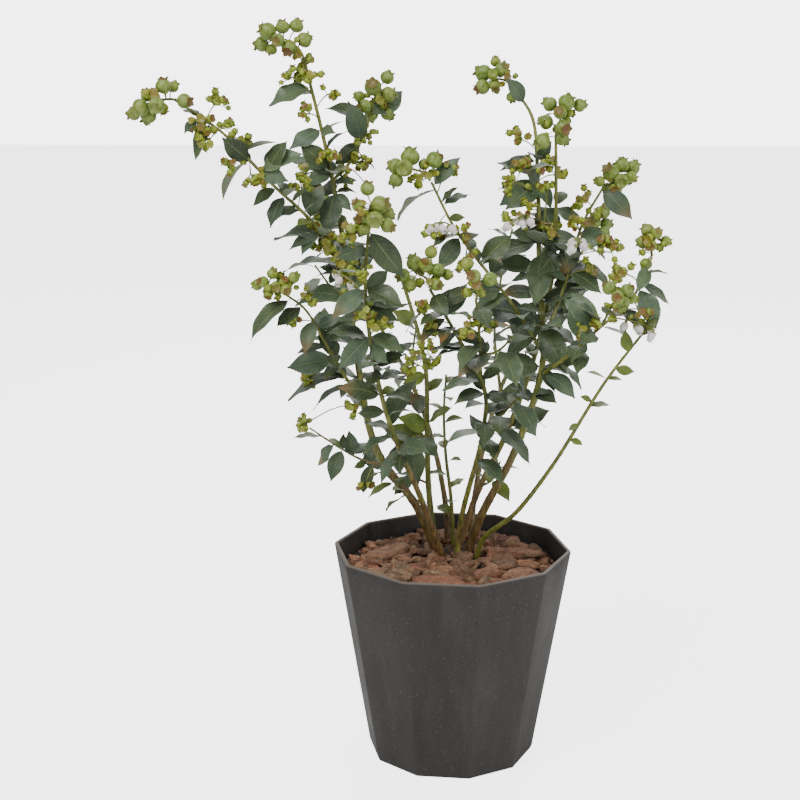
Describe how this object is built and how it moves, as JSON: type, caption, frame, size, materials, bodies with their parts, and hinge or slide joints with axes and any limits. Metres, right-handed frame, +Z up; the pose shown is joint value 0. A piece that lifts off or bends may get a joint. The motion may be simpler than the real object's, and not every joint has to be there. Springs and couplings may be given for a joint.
{
  "type": "potted blueberry bush",
  "caption": "Young highbush blueberry with unripe berries, white flowers and blue-green leaves, standing in a tapered ten-sided planter topped with bark mulch.",
  "frame": {"origin": "middle of the pot's underside, on the ground", "axes": "+Z up along the pot's axis, -Y towards the front of the plant, +X to its right seen from the front"},
  "size_m": [0.5061, 0.3479, 0.7305],
  "materials": {
    "pot": "charcoal grey, fine mottled matt with a stone-like grain",
    "medium": "dark damp peat-free mix of composted bark",
    "mulch": "red-brown pine bark mulch, dark between the chips",
    "chip": "weathered pine bark, red-brown with paler broken edges",
    "crown": "dark flaking bark",
    "cane": "smooth olive green bark, browner towards the foot",
    "leaf": "dark blue-green with a waxy bloom, paler beneath",
    "berry": "unripe pale green with a whitish bloom and a brown-tipped crown",
    "flower": "thin white waxy petals"
  },
  "bodies": {
    "root": {"pot": "pot", "growing_medium": "medium", "mulch_bed": "mulch", "bark_chip_1": "chip", "bark_chip_2": "chip", "bark_chip_3": "chip", "bark_chip_4": "chip", "bark_chip_5": "chip", "bark_chip_6": "chip", "root_crown": "crown", "cane_left_tall": "cane", "cane_left_inner": "cane", "cane_centre": "cane", "cane_middle": "cane", "cane_right_tall": "cane", "cane_right_back": "cane", "cane_long": "cane", "cane_back_left": "cane", "cane_back_right": "cane", "cane_young": "cane", "berries_top_left": "berry", "berries_far_left": "berry", "berries_upper_left": "berry", "berries_left_inner": "berry", "berries_centre": "berry", "berries_middle": "berry", "berries_front": "berry", "berries_right_top": "berry", "berries_right_tall": "berry", "berries_far_right": "berry", "berries_right_side": "berry", "berries_right_front": "berry", "berries_mid_left": "berry", "berries_back_left": "berry", "berries_back_right": "berry", "flowers_left_inner": "flower", "flowers_centre": "flower", "flowers_right": "flower", "flowers_right_upper": "flower", "flowers_far_right": "flower", "branch_far_left": "leaf", "branch_upper_left": "leaf", "branch_mid_left": "leaf", "branch_low_left": "leaf", "branch_centre": "leaf", "branch_right_low": "leaf", "branch_right_upper": "leaf", "branch_back_mid": "leaf", "branch_front": "leaf", "shoot_low_left": "leaf", "shoot_low_centre": "leaf", "shoot_low_right": "leaf", "shoot_left_back": "leaf", "shoot_centre_front": "leaf", "shoot_middle": "leaf", "shoot_middle_low": "leaf", "shoot_right_back": "leaf", "shoot_back_left": "leaf", "shoot_back_right": "leaf"}
  },
  "joints": []
}
